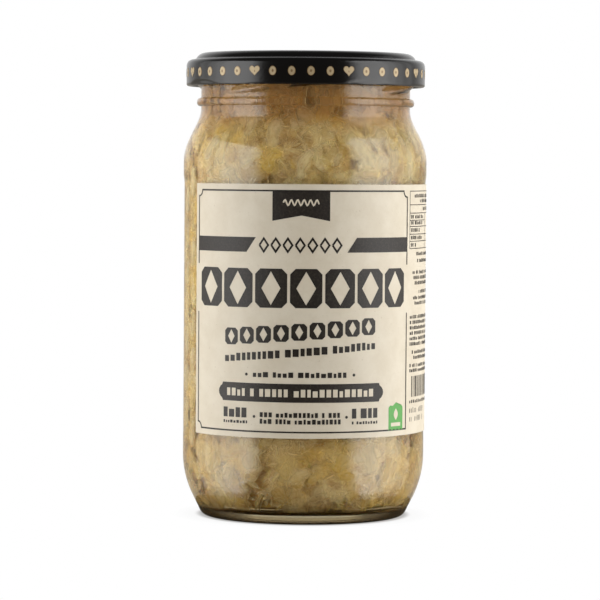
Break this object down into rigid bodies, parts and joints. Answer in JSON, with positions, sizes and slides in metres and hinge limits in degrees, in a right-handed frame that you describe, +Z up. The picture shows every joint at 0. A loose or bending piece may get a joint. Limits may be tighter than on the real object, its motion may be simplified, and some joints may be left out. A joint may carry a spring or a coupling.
{
  "type": "jar of sauerkraut",
  "caption": "Straight-sided glass jar packed with shredded fermented cabbage, closed by a black metal twist cap and wrapped by a paper label.",
  "frame": {"origin": "middle of the base, on the plane that the jar stands on", "axes": "+Z up along the jar's axis of revolution, the front of the label faces -Y, +X to the right of the label"},
  "size_m": [0.0685, 0.0686, 0.1301],
  "materials": {
    "glass": "clear blown glass, fire polished",
    "cap_lacquer": "black lacquered tinplate with a printed row of gold dots and hearts, semi-gloss",
    "label_paper": "uncoated cream paper with dark brown printed shapes",
    "cabbage": "wet translucent pale yellow vegetable strips in brine"
  },
  "bodies": {
    "root": {"glass_jar": "glass", "cap": "cap_lacquer", "label": "label_paper", "sauerkraut": "cabbage"}
  },
  "joints": []
}
